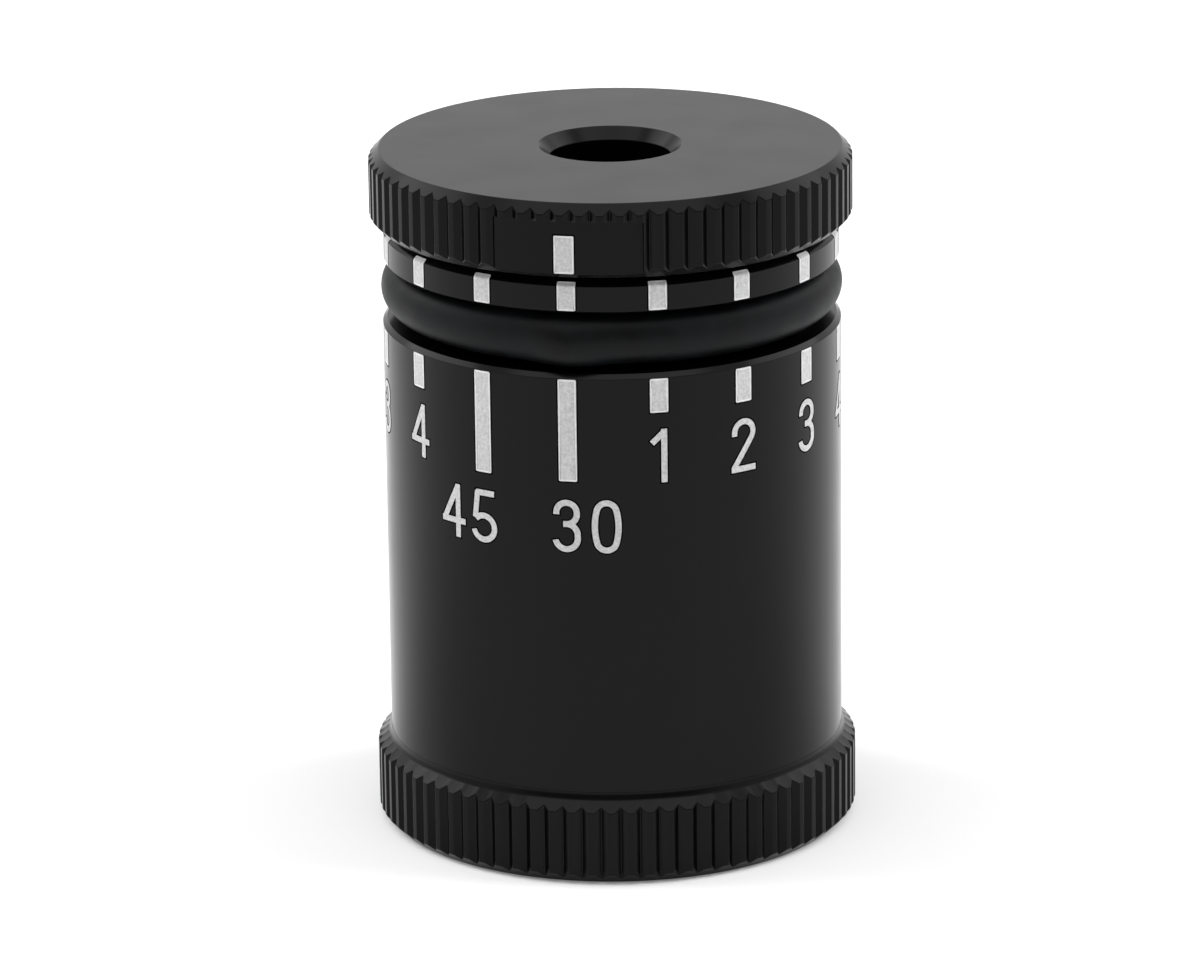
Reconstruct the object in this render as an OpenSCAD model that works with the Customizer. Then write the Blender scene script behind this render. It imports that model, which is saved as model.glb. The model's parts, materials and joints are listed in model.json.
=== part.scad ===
// Ride height gauge. A knurled cap on a plunger is turned against the scale on a barrel.
// A ball, pressed inward by a rubber ring, runs in a helical track on the plunger, so the
// cap climbs by one step of the reading for each scale mark and clicks at every mark.

/* [Reading] */
// Height of the closed gauge, which is its lowest reading
closed_height = 30; // [29.5:0.5:40]
// Scale marks in one full turn of the cap
scale_marks = 16; // [8:1:16]
// Rise of the cap from one scale mark to the next
mark_rise = 1; // [0.5:0.05:1]

/* [Cap] */
// How far the knurl of the cap stands out beyond the barrel
cap_overhang = 0.5; // [0.45:0.05:1.5]
// Thickness of the cap, from its underside to its measuring face
cap_thickness = 3.2; // [2.8:0.1:3.8]
// Chamfer round the top edge of the cap
cap_top_chamfer = 0.45; // [0.3:0.05:0.7]
// Chamfer round the bottom edge of the cap
cap_bottom_chamfer = 0.4; // [0.3:0.05:0.6]
// Diameter of the hole through the cap and the plunger
hole_d = 5.2; // [4:0.1:6.4]
// Chamfer round the mouth of the hole
hole_chamfer = 0.5; // [0.2:0.05:0.7]
// Teeth that the smooth window takes out of the knurl of the cap
window_teeth = 8; // [5:1:12]
// How far the window lies below the roots of the knurl
window_margin = 0.03; // [0.03:0.01:0.1]
// Height of the knurl that is left between the window and the top chamfer
window_land = 0.3; // [0.2:0.05:0.6]
// Width of the index line in the window
index_width = 0.85; // [0.6:0.01:1.2]
// Height of the index line, up from the underside of the cap
index_height = 1.8; // [1.2:0.05:2]

/* [Knurl] */
// Teeth round the cap
cap_teeth = 77; // [56:1:90]
// Angle from the index line to the nearest crest on the cap
cap_teeth_turn = -1.2; // [-2:0.1:2]
// Teeth round the foot
foot_teeth = 78; // [56:1:90]
// Angle from the lowest reading to the nearest crest on the foot
foot_teeth_turn = 0.4; // [-2:0.1:2]
// Depth of the grooves between the teeth
knurl_depth = 0.23; // [0.15:0.01:0.3]
// Part of each tooth pitch that is flat crest
crest_share = 0.42; // [0.2:0.02:0.6]
// Part of each tooth pitch that is flat root
root_share = 0.1; // [0.06:0.02:0.2]

/* [Barrel] */
// Outer diameter of the barrel
barrel_d = 19.8; // [18.6:0.2:24]
// How far the collar above the rubber ring stands back from the barrel
collar_inset = 0.08; // [0:0.02:0.3]
// Height of the collar
collar_height = 1.625; // [1.2:0.025:2]
// Chamfer round the top edge of the collar
collar_chamfer = 0.45; // [0.1:0.05:0.6]
// Chamfer round the lower edge of the collar
collar_break = 0.1; // [0.03:0.01:0.2]
// Chamfer on the barrel below the ring groove
barrel_chamfer = 0.2; // [0.1:0.05:0.4]
// Small break on the edges where the barrel and the foot meet
edge_break = 0.03; // [0.02:0.01:0.1]
// Width of a scale mark
mark_width = 0.78; // [0.5:0.02:1]
// Depth of the engraved marks
mark_depth = 0.05; // [0.03:0.01:0.1]
// Length of a short scale mark below the barrel chamfer
short_mark = 1.48; // [1:0.1:2.5]
// Length of a long scale mark below the barrel chamfer
long_mark = 4.46; // [3:0.1:6]
// Steps of the reading from one long mark to the next
long_every = 5; // [2:1:8]

/* [Foot] */
// How far the knurl of the foot stands out beyond the barrel
foot_flare = 0.6; // [0.5:0.05:2]
// Height of the knurled band of the foot
foot_band = 3.25; // [2.5:0.05:3.6]
// Chamfer round the bottom edge of the foot
foot_chamfer = 0.45; // [0.3:0.05:0.7]
// Fillet from the top of the foot into the barrel
foot_fillet = 0.3; // [0.2:0.05:0.9]
// Height of the boss on the foot that centres the barrel
boss_height = 0.5; // [0.3:0.05:0.7]

/* [Foot screws] */
// Number of screws
screw_count = 3; // [2:1:6]
// Diameter of the shank
screw_d = 2; // [1.6:0.1:2.2]
// Diameter of the countersunk head
screw_head_d = 3.5; // [3.2:0.1:3.8]
// Length of a screw over its head
screw_length = 5.5; // [4.8:0.1:8]
// Wall between the bore of the barrel and the screw holes
screw_wall = 0.4; // [0.3:0.05:0.6]
// How far the heads lie above the bottom face
screw_sink = 0.1; // [0.05:0.05:0.3]
// Width across the flats of the socket
socket_width = 1.3; // [1:0.05:1.5]
// Depth of the socket
socket_depth = 0.6; // [0.4:0.05:0.8]

/* [Plunger] */
// How deep the ball sits in the plunger
ball_bite = 0.77; // [0.6:0.01:0.95]
// Width of the shoulder that carries the cap
shoulder = 2; // [1.6:0.1:2.2]
// Height of the spigot in the cap
spigot_height = 1.6; // [1:0.1:1.9]
// Space between the plunger and the boss of the foot
floor_gap = 0.2; // [0.1:0.05:0.5]
// Chamfer round the lower end of the plunger
plunger_chamfer = 0.2; // [0.1:0.05:0.3]

/* [Guides] */
// Height of the split guide ring
guide_height = 1.1; // [0.8:0.05:1.4]
// Depth of its groove in the plunger
guide_depth = 0.8; // [0.5:0.05:1.2]
// Plunger below the groove
guide_land = 0.4; // [0.3:0.05:0.7]
// Width of the split in the guide ring
guide_split = 0.8; // [0.4:0.1:1.5]
// How far the throat bush stays above the hole of the ball
bush_ledge = 0.3; // [0.1:0.05:0.5]
// How far the throat bush lies below the top of the barrel
bush_sink = 0.1; // [0.05:0.05:0.4]
// Wall of the throat bush
bush_wall = 0.6; // [0.4:0.05:0.75]

/* [Index dowel] */
// Diameter of the dowel between the cap and the plunger
dowel_d = 1.2; // [0.8:0.1:1.2]
// Length of the dowel
dowel_length = 3.2; // [2:0.1:4]
// Clearance at each end of the dowel
dowel_end_gap = 0.1; // [0.05:0.05:0.3]

/* [Detent] */
// Diameter of the ball
ball_d = 2.5; // [2.2:0.05:2.6]
// How far the ball stands out of the floor of the ring groove
ball_lift = 0.25; // [0.1:0.05:0.4]
// How far the ball drops into a click seat
click_depth = 0.2; // [0.1:0.02:0.3]
// Half angle of a click seat
click_angle = 7; // [5:0.5:9]
// Section of the rubber ring
ring_section = 2.3; // [2:0.05:2.6]
// How far the inside of the rubber ring is pressed flat on the floor of its groove
ring_flat = 0.35; // [0.2:0.05:0.5]
// How far the rubber ring stands out beyond the barrel
ring_proud = 0.05; // [0:0.05:0.3]
// Space between the rubber ring and the collar
ring_top_gap = 0.1; // [0.05:0.025:0.4]
// Space below the rubber ring in its groove
ring_bottom_gap = 0.225; // [0.05:0.025:0.4]

/* [Fits] */
// Radial clearance of a running fit
running_gap = 0.03; // [0.02:0.005:0.06]
// Clearance of a bonded or threaded fit
bond_gap = 0.02; // [0.01:0.005:0.04]
// Radial clearance between the plunger and the bore of the barrel
bore_gap = 0.12; // [0.1:0.01:0.2]
// Clearance between the ball and its track
track_gap = 0.08; // [0.05:0.01:0.12]

/* [Hidden] */
$fn = 96;

// Extra length of a cutting body past the face that it cuts
cut = 1;

// Share of the knurl's depth by which its flanks are drawn out past the crests
flank_over = 0.2;
flank_share = (1 - root_share - crest_share) * flank_over;

// Angle of the index line and of the lowest reading, seen from above
index_angle = -90;

// Screw motion of the cap
mark_angle = 360 / scale_marks;
lead = scale_marks * mark_rise;
travel_angle = 360 - mark_angle;

// Radii of the outside
barrel_r = barrel_d / 2;
cap_r = barrel_r + cap_overhang;
foot_r = barrel_r + foot_flare;
collar_r = barrel_r - collar_inset;
window_r = cap_r - knurl_depth - window_margin;
hole_r = hole_d / 2;

// Window in the knurl, from root to root
cap_pitch = 360 / cap_teeth;
window_angle = window_teeth * cap_pitch;
window_start = cap_teeth_turn - (floor(window_teeth / 2) - 0.5) * cap_pitch;

// Radii of the detent, from the rubber ring inward
ring_r = barrel_r + ring_proud - ring_section / 2;
ring_floor_r = ring_r - ring_section / 2 + ring_flat;
groove_r = ring_floor_r - bond_gap;
ball_r = ball_d / 2;
ball_path_r = groove_r + ball_lift - ball_r;
ball_hole_r = ball_r + running_gap;

// Radii of the plunger and of what it runs in
plunger_r = ball_path_r - ball_r + ball_bite;
bore_r = plunger_r + bore_gap;
spigot_r = plunger_r - shoulder;
dowel_circle_r = plunger_r - shoulder / 2;
guide_floor_r = plunger_r - guide_depth;
bush_r = plunger_r + running_gap + bush_wall;

// Slope of the shoulder of the foot, and the steps of the fillet above it
foot_slope = 45;
fillet_steps = 6;

// Heights of the foot, from the table up
foot_corner = foot_band + foot_flare * tan(foot_slope);
fillet_run = foot_fillet * tan(foot_slope / 2);
foot_height = foot_corner + fillet_run + edge_break;
boss_top = foot_height + boss_height;
screw_r = screw_d / 2;
screw_circle_r = bore_r + screw_wall + screw_r;
screw_head_r = screw_head_d / 2;
screw_cone = screw_head_r - screw_r;
screw_hole_top = screw_sink + screw_length + bond_gap + screw_r;

// Heights of the barrel, from the cap down
barrel_top = closed_height - cap_thickness;
groove_top = barrel_top - collar_height;
ball_z = groove_top - ring_top_gap - ring_section / 2;
groove_bottom = ball_z - ring_section / 2 - ring_bottom_gap;
marks_top = groove_bottom - barrel_chamfer;
bush_top = barrel_top - bush_sink;
bush_bottom = ball_z + ball_hole_r + bush_ledge;
bush_height = bush_top - bush_bottom;

// Heights of the plunger, from the foot up
plunger_bottom = boss_top + floor_gap;
guide_bottom = plunger_bottom + guide_land;
guide_top = guide_bottom + guide_height + 2 * running_gap;
spigot_top = barrel_top + spigot_height;

// Track of the ball on the plunger
lead_angle = atan(lead / (2 * PI * ball_path_r));
track_sides = 8;
track_step_limit = 3;
track_r = (ball_r + track_gap) / cos(90 / track_sides);
track_run = (ball_r + track_gap) * cos(lead_angle) / ball_path_r * 180 / PI;
track_angle = travel_angle + 2 * track_run;
track_rings = ceil(track_angle / track_step_limit);
ring_points = track_sides + 1;

// Colours
anodised = [0.1, 0.095, 0.1];
rubber = [0.14, 0.14, 0.155];
steel = [0.72, 0.73, 0.75];
dark_steel = [0.2, 0.2, 0.21];
bronze = [0.72, 0.53, 0.3];
white_plastic = [0.88, 0.87, 0.84];

// Outline of a knurl, tooth by tooth: flank past the crest, flank, root, flank
function knurl_outline(crest_r, teeth, turn) = [
  for (tooth = [0:teeth - 1])
  for (corner = [0:3])
    let(
      pitch = 360 / teeth,
      half = (corner < 2 ? crest_share - flank_share : root_share) * pitch / 2,
      middle = corner < 2 ? tooth * pitch : (tooth + 0.5) * pitch,
      angle = index_angle + turn + middle + (corner % 2 == 0 ? -half : half),
      radius = corner < 2 ? crest_r + flank_over * knurl_depth : crest_r - knurl_depth
    )
    [radius * cos(angle), radius * sin(angle)]
];

// Body of revolution, seamed on a crest, with the knurl cut into it where it is wide enough
module knurled(profile, crest_r, height, teeth, turn) {
  intersection() {
    rotate([0, 0, index_angle + turn])
      rotate_extrude()
        polygon(profile);
    translate([0, 0, -cut])
      linear_extrude(height + 2 * cut)
        polygon(knurl_outline(crest_r, teeth, turn));
  }
}

// One of a row of pieces round the axis, counted from the index angle
module around(angle, radius) {
  rotate([0, 0, index_angle + angle])
    translate([radius, 0, 0])
      children();
}

// Shallow cut for a line on a round face
module line_cut(face_r, width, bottom, height) {
  translate([face_r - mark_depth, -width / 2, bottom])
    cube([cut, width, height]);
}

function cap_profile() = [
  [0, 0],
  [cap_r - cap_bottom_chamfer, 0],
  [cap_r, cap_bottom_chamfer],
  [cap_r, cap_thickness - cap_top_chamfer],
  [cap_r - cap_top_chamfer, cap_thickness],
  [0, cap_thickness]
];

module index_window() {
  rotate([0, 0, index_angle + window_start])
    rotate_extrude(angle = window_angle)
      translate([window_r, -cut])
        square([cut, cap_thickness - cap_top_chamfer - window_land + cut]);
  rotate([0, 0, index_angle])
    line_cut(window_r, index_width, -cut, index_height + cut);
}

module cap_hole() {
  translate([0, 0, -cut])
    cylinder(h = cap_thickness + 2 * cut, r = hole_r);
  translate([0, 0, cap_thickness - hole_chamfer])
    cylinder(h = hole_chamfer, r1 = hole_r, r2 = hole_r + hole_chamfer);
  translate([0, 0, -cut])
    cylinder(h = spigot_height + bond_gap + cut, r = spigot_r + bond_gap);
}

module cap() {
  color(anodised)
    translate([0, 0, barrel_top])
      difference() {
        knurled(cap_profile(), cap_r, cap_thickness, cap_teeth, cap_teeth_turn);
        cap_hole();
        index_window();
        around(180, dowel_circle_r)
          translate([0, 0, -cut])
            cylinder(h = dowel_length / 2 + dowel_end_gap + cut, d = dowel_d + 2 * bond_gap);
      }
}

// How much deeper the track lies at a turn of the cap, for the click seats
function click_dip(turn) =
  let(off = abs(turn - round(turn / mark_angle) * mark_angle))
  off < click_angle ? click_depth * (1 + cos(180 * off / click_angle)) / 2 : 0;

// Point of the track's half-round section, square to the path of the ball
function track_point(ring, side) =
  let(
    turn = ring / track_rings * track_angle - track_run,
    angle = index_angle - turn,
    around_section = 180 * side / track_sides,
    across = track_r * cos(around_section),
    radius = ball_path_r - click_dip(turn) - track_r * sin(around_section)
  )
  [
    radius * cos(angle) + across * sin(lead_angle) * sin(angle),
    radius * sin(angle) - across * sin(lead_angle) * cos(angle),
    ball_z - turn / 360 * lead + across * cos(lead_angle)
  ];

function track_index(ring, side) = ring * ring_points + side % ring_points;

module track() {
  points = [
    for (ring = [0:track_rings])
    for (side = [0:track_sides])
      track_point(ring, side)
  ];
  walls = [
    for (ring = [0:track_rings - 1])
    for (side = [0:track_sides])
    for (half = [0, 1])
      half == 0
        ? [track_index(ring, side), track_index(ring + 1, side + 1), track_index(ring, side + 1)]
        : [track_index(ring, side), track_index(ring + 1, side), track_index(ring + 1, side + 1)]
  ];
  first_end = [for (side = [0:track_sides]) track_index(0, side)];
  last_end = [for (side = [track_sides:-1:0]) track_index(track_rings, side)];
  polyhedron(points, concat(walls, [first_end, last_end]));
}

module plunger() {
  color(anodised)
    difference() {
      rotate_extrude()
        polygon([
          [hole_r, plunger_bottom],
          [plunger_r - plunger_chamfer, plunger_bottom],
          [plunger_r, plunger_bottom + plunger_chamfer],
          [plunger_r, guide_bottom],
          [guide_floor_r, guide_bottom],
          [guide_floor_r, guide_top],
          [plunger_r, guide_top],
          [plunger_r, barrel_top],
          [spigot_r, barrel_top],
          [spigot_r, spigot_top],
          [hole_r, spigot_top]
        ]);
      track();
      around(180, dowel_circle_r)
        translate([0, 0, barrel_top - dowel_length / 2 - dowel_end_gap])
          cylinder(h = dowel_length, d = dowel_d + 2 * bond_gap);
    }
}

module index_dowel() {
  color(steel)
    around(180, dowel_circle_r)
      translate([0, 0, barrel_top - dowel_length / 2])
        cylinder(h = dowel_length, d = dowel_d);
}

module guide_ring() {
  color(white_plastic)
    translate([0, 0, guide_bottom + running_gap])
      difference() {
        cylinder(h = guide_height, r = bore_r - running_gap);
        translate([0, 0, -cut])
          cylinder(h = guide_height + 2 * cut, r = guide_floor_r + running_gap);
        translate([0, -guide_split / 2, -cut])
          cube([bore_r + cut, guide_split, guide_height + 2 * cut]);
      }
}

module scale_cuts() {
  for (mark = [0:scale_marks - 1]) {
    length = mark % long_every == 0 ? long_mark : short_mark;
    around(mark * mark_angle, 0) {
      line_cut(collar_r, mark_width, groove_top - edge_break, collar_height + cut);
      line_cut(barrel_r, mark_width, marks_top - length, length + barrel_chamfer + edge_break);
    }
  }
}

module barrel() {
  color(anodised)
    difference() {
      rotate_extrude()
        polygon([
          [bore_r, foot_height],
          [barrel_r - edge_break, foot_height],
          [barrel_r, foot_height + edge_break],
          [barrel_r, marks_top],
          [barrel_r - barrel_chamfer, groove_bottom],
          [groove_r, groove_bottom],
          [groove_r, groove_top],
          [collar_r - collar_break, groove_top],
          [collar_r, groove_top + collar_break],
          [collar_r, barrel_top - collar_chamfer],
          [collar_r - collar_chamfer, barrel_top],
          [bush_r + bond_gap, barrel_top],
          [bush_r + bond_gap, bush_bottom],
          [bore_r, bush_bottom]
        ]);
      scale_cuts();
      translate([0, 0, ball_z])
        around(0, bore_r - cut)
          rotate([0, 90, 0])
            cylinder(h = groove_r - bore_r + 2 * cut, r = ball_hole_r);
      for (screw = [0:screw_count - 1])
        around((screw + 0.5) * 360 / screw_count, screw_circle_r)
          translate([0, 0, foot_height - cut])
            cylinder(h = screw_hole_top - foot_height + cut, r = screw_r + bond_gap);
    }
}

module throat_bush() {
  color(bronze)
    translate([0, 0, bush_bottom])
      difference() {
        cylinder(h = bush_height, r = bush_r);
        translate([0, 0, -cut])
          cylinder(h = bush_height + 2 * cut, r = plunger_r + running_gap);
      }
}

module detent_ball() {
  color(steel)
    translate([0, 0, ball_z])
      around(0, ball_path_r)
        sphere(r = ball_r);
}

module detent_ring() {
  color(rubber)
    translate([0, 0, ball_z])
      difference() {
        rotate_extrude()
          translate([ring_r, 0])
            circle(d = ring_section);
        translate([0, 0, -ring_section])
          cylinder(h = 2 * ring_section, r = ring_floor_r);
        around(0, ball_path_r)
          sphere(r = ball_hole_r);
      }
}

// Outline of the foot up to its boss, with a fillet into the line of the barrel
function foot_profile() = concat(
  [
    [0, 0],
    [foot_r - foot_chamfer, 0],
    [foot_r, foot_chamfer],
    [foot_r, foot_band]
  ],
  [
    for (step = [0:fillet_steps])
      let(angle = 180 + foot_slope * (1 - step / fillet_steps))
      [
        barrel_r + foot_fillet * (1 + cos(angle)),
        foot_corner + fillet_run + foot_fillet * sin(angle)
      ]
  ],
  [
    [barrel_r - edge_break, foot_height],
    [bore_r - bond_gap, foot_height],
    [bore_r - bond_gap, boss_top],
    [0, boss_top]
  ]
);

// Room for a countersunk head and its shank
module screw_room(gap) {
  translate([0, 0, -cut])
    cylinder(h = screw_sink + cut, r = screw_head_r + gap);
  translate([0, 0, screw_sink])
    cylinder(h = screw_cone, r1 = screw_head_r + gap, r2 = screw_r + gap);
  cylinder(h = boss_top + cut, r = screw_r + gap);
}

module foot() {
  color(anodised)
    difference() {
      knurled(foot_profile(), foot_r, boss_top, foot_teeth, foot_teeth_turn);
      for (screw = [0:screw_count - 1])
        around((screw + 0.5) * 360 / screw_count, screw_circle_r)
          screw_room(running_gap);
    }
}

module foot_screws() {
  color(dark_steel)
    for (screw = [0:screw_count - 1])
      around((screw + 0.5) * 360 / screw_count, screw_circle_r)
        translate([0, 0, screw_sink])
          difference() {
            union() {
              cylinder(h = screw_cone, r1 = screw_head_r, r2 = screw_r);
              cylinder(h = screw_length, r = screw_r);
            }
            translate([0, 0, -cut])
              cylinder(h = socket_depth + cut, d = socket_width / cos(30), $fn = 6);
          }
}

cap();
plunger();
index_dowel();
guide_ring();
barrel();
throat_bush();
detent_ball();
detent_ring();
foot();
foot_screws();
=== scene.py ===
"""Looks of a ride height gauge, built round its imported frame.

A knurled cap on a plunger climbs in a scaled barrel over a knurled foot. The pieces are
modelled in millimetres, because the tools' own tolerances are coarse for such small parts
in metres, and each piece is shrunk to the frame's metres when it is done.
"""

import json
import logging
import math
from collections.abc import Callable, Sequence
from dataclasses import dataclass, field, replace
from enum import Enum
from typing import ClassVar

import bmesh
import bpy
from mathutils import Matrix, Vector


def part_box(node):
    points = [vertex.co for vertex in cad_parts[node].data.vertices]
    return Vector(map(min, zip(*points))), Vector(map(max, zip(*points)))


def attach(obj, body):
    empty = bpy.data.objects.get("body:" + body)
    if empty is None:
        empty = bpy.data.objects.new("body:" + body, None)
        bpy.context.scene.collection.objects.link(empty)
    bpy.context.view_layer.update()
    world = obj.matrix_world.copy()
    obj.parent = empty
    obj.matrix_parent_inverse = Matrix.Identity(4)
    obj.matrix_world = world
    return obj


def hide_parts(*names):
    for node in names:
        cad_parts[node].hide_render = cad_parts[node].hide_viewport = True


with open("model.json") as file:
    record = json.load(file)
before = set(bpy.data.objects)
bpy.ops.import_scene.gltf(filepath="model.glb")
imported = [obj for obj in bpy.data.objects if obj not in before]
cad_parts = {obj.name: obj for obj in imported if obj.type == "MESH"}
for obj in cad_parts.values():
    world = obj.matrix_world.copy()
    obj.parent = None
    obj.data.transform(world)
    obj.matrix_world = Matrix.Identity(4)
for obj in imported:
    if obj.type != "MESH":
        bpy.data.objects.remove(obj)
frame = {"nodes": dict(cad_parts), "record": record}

# A millimetre in metres
MM = 0.001
# Distance under which two points are the same, in millimetres
TINY = 1e-4
# How far a cutter reaches past what it cuts, in millimetres
PAST = 1.0
# Vertices in a ring of a round cutter
DRILL_SIDES = 48
# Marks of the scale in one full turn
MARKS = 16

Point = tuple[float, float]
Colour = tuple[float, float, float]
Socket = bpy.types.NodeSocket
log = logging.getLogger("gauge")


def box_mm(node: str) -> tuple[Vector, Vector]:
    """Gives a node's lowest and highest corner.

    Args:
        node: Name of the node in the frame.

    Returns:
        The two corners in millimetres.
    """
    low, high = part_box(node)
    return low / MM, high / MM


def round_place(radius: float, angle: float, height: float = 0.0) -> Vector:
    """Gives a place on a circle round the axis.

    Args:
        radius: Distance from the axis.
        angle: Angle from the index line, growing to the right of one who faces it.
        height: Height above the table.

    Returns:
        The place as a vector.
    """
    return Vector((radius * math.sin(angle), -radius * math.cos(angle), height))


class Join(Enum):
    """What a second piece does to the first."""

    CUT = "DIFFERENCE"
    FUSE = "UNION"


class Bench:
    """A piece on the bench: shaped in edit mode in millimetres, then shrunk to metres."""

    def __init__(self, name: str) -> None:
        """Starts an empty piece at the origin.

        Args:
            name: Name of the finished piece.
        """
        self.piece = bpy.data.objects.new(name, bpy.data.meshes.new(name))
        bpy.context.scene.collection.objects.link(self.piece)
        self.take()

    @staticmethod
    def leave() -> None:
        """Leaves edit mode."""
        if bpy.context.mode != "OBJECT":
            bpy.ops.object.mode_set(mode="OBJECT")

    def take(self) -> None:
        """Makes this the only piece in hand, in edit mode."""
        self.leave()
        bpy.ops.object.select_all(action="DESELECT")
        bpy.context.view_layer.objects.active = self.piece
        self.piece.select_set(True)
        bpy.ops.object.mode_set(mode="EDIT")
        bpy.ops.mesh.select_mode(type="VERT")

    def select(self, wanted: Callable[[Vector], bool]) -> None:
        """Selects the vertices at the wanted places, and what lies between them.

        Args:
            wanted: Says of a vertex's place whether it is wanted.
        """
        bpy.ops.mesh.select_all(action="DESELECT")
        mesh = bmesh.from_edit_mesh(self.piece.data)
        for vertex in mesh.verts:
            vertex.select = wanted(vertex.co)
        mesh.select_flush_mode()
        bmesh.update_edit_mesh(self.piece.data)

    def select_faces(self, wanted: Callable[[bmesh.types.BMFace], bool]) -> None:
        """Selects the wanted faces and stays in face mode.

        Args:
            wanted: Says of a face whether it is wanted.
        """
        bpy.ops.mesh.select_mode(type="FACE")
        bpy.ops.mesh.select_all(action="DESELECT")
        mesh = bmesh.from_edit_mesh(self.piece.data)
        for face in mesh.faces:
            face.select = wanted(face)
        bmesh.update_edit_mesh(self.piece.data)

    def select_all(self) -> None:
        """Selects the whole piece."""
        bpy.ops.mesh.select_all(action="SELECT")

    def outward(self) -> None:
        """Points all faces outwards."""
        self.select_all()
        bpy.ops.mesh.normals_make_consistent(inside=False)

    def move(self, x: float = 0.0, y: float = 0.0, z: float = 0.0) -> None:
        """Moves what is selected.

        Args:
            x: Distance to the right.
            y: Distance to the back.
            z: Distance up.
        """
        bpy.ops.transform.translate(value=(x, y, z))

    def widen(self, share: float) -> None:
        """Scales what is selected about the axis, at its own height."""
        bpy.ops.transform.resize(value=(share, share, 1), center_override=(0, 0, 0))

    def swing(self, angle: float, steps: int, centre: Sequence[float], axis: Sequence[float]) -> None:
        """Spins what is selected into a round run.

        Args:
            angle: Angle in radians, by the right-hand rule about the axis.
            steps: Number of steps in the run.
            centre: Place on the axis.
            axis: Direction of the axis.
        """
        bpy.ops.mesh.spin(steps=steps, angle=-angle, center=centre, axis=axis, use_auto_merge=False)

    def copy_round(self, count: int, pitch: float) -> None:
        """Copies the whole piece round the axis.

        Args:
            count: Number of pieces with the first.
            pitch: Angle in radians from one to the next.
        """
        self.select_all()
        bpy.ops.mesh.spin(
            dupli=True, steps=count - 1, angle=-pitch * (count - 1), center=(0, 0, 0), axis=(0, 0, 1)
        )

    def turn(self, outline: Sequence[Point], count: int, solid: bool = False) -> None:
        """Turns an outline round the axis.

        Args:
            outline: Radius and height of each corner, once round the section of a hollow piece,
                or from the bottom to the top of a solid one.
            count: Number of vertices in a ring.
            solid: Whether the first and the last ring are closed by faces.
        """
        radius, height = outline[0]
        bpy.ops.mesh.primitive_circle_add(
            vertices=count,
            radius=radius,
            fill_type="NGON" if solid else "NOTHING",
            location=(0, 0, height),
        )
        corners = outline[1:] if solid else [*outline[1:], outline[0]]
        for next_radius, next_height in corners:
            rise = (0, 0, next_height - height)
            bpy.ops.mesh.extrude_edges_move(TRANSFORM_OT_translate={"value": rise})
            self.widen(next_radius / radius)
            radius, height = next_radius, next_height
        if solid:
            bpy.ops.mesh.edge_face_add()
        else:
            self.weld()

    def weld(self) -> None:
        """Merges the vertices that lie in one place."""
        self.select_all()
        bpy.ops.mesh.remove_doubles(threshold=TINY)

    def soften(self, width: float, sharpness: float = 30.0) -> None:
        """Rounds the sharp edges a little.

        Args:
            width: Width of the rounding.
            sharpness: Least angle in degrees at which an edge is sharp.
        """
        bpy.ops.mesh.select_mode(type="EDGE")
        bpy.ops.mesh.select_all(action="DESELECT")
        bpy.ops.mesh.edges_select_sharp(sharpness=math.radians(sharpness))
        bpy.ops.mesh.bevel(offset=width, segments=2, affect="EDGES")
        bpy.ops.mesh.select_mode(type="VERT")

    def apply(self, kind: str, **settings: object) -> None:
        """Puts a modifier on the piece, applies it and stays out of edit mode.

        Args:
            kind: Type of the modifier.
            settings: Its properties.
        """
        self.leave()
        modifier = self.piece.modifiers.new(kind.lower(), kind)
        for name, value in settings.items():
            setattr(modifier, name, value)
        bpy.ops.object.modifier_apply(modifier=modifier.name)

    def join(self, other: "Bench", way: Join) -> None:
        """Cuts another piece away or fuses it on, and scraps it.

        Args:
            other: The second piece.
            way: Whether it cuts or is fused on.
        """
        self.take()
        self.apply("BOOLEAN", operation=way.value, solver="EXACT", object=other.piece)
        if not self.piece.data.polygons:
            raise RuntimeError(f"{self.piece.name} was lost to {other.piece.name}")
        other.scrap()
        self.take()

    def add(self, other: "Bench") -> None:
        """Joins a second, separate piece into this one's mesh.

        Args:
            other: The second piece.
        """
        self.take()
        self.leave()
        other.piece.select_set(True)
        bpy.ops.object.join()
        self.take()

    def copy(self) -> "Bench":
        """Copies the piece.

        Returns:
            The copy, with a mesh of its own.
        """
        self.leave()
        twin = Bench(self.piece.name)
        self.leave()
        twin.piece.data = self.piece.data.copy()
        twin.take()
        return twin

    def lay_on(self, target: "Bench", proud: float) -> None:
        """Lays the front of a flat piece on the round face behind it.

        Args:
            target: The piece with the round face.
            proud: How far the front stands out of that face.
        """
        self.take()
        middle = sum(corner[1] for corner in self.piece.bound_box) / len(self.piece.bound_box)
        self.select(lambda place: place.y < middle)
        bpy.ops.object.vertex_group_assign_new()
        self.apply(
            "SHRINKWRAP",
            wrap_method="PROJECT",
            use_project_y=True,
            use_positive_direction=True,
            use_negative_direction=False,
            wrap_mode="ABOVE_SURFACE",
            offset=proud,
            target=target.piece,
            vertex_group=self.piece.vertex_groups[-1].name,
        )
        self.piece.vertex_groups.clear()
        self.take()

    def scrap(self) -> None:
        """Removes the piece and its mesh."""
        self.leave()
        bpy.data.meshes.remove(self.piece.data)

    def finish(self, crease: float = 30.0) -> bpy.types.Object:
        """Points the faces outwards, shades the piece smooth and shrinks it to metres.

        Args:
            crease: Angle in degrees over which an edge stays sharp.

        Returns:
            The finished piece.
        """
        self.take()
        self.weld()
        self.outward()
        self.leave()
        bpy.ops.object.shade_smooth_by_angle(angle=math.radians(crease))
        self.apply("WEIGHTED_NORMAL", keep_sharp=True, weight=100)
        self.piece.scale = (MM, MM, MM)
        bpy.ops.object.transform_apply(location=False, rotation=False, scale=True)
        return self.piece


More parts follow.
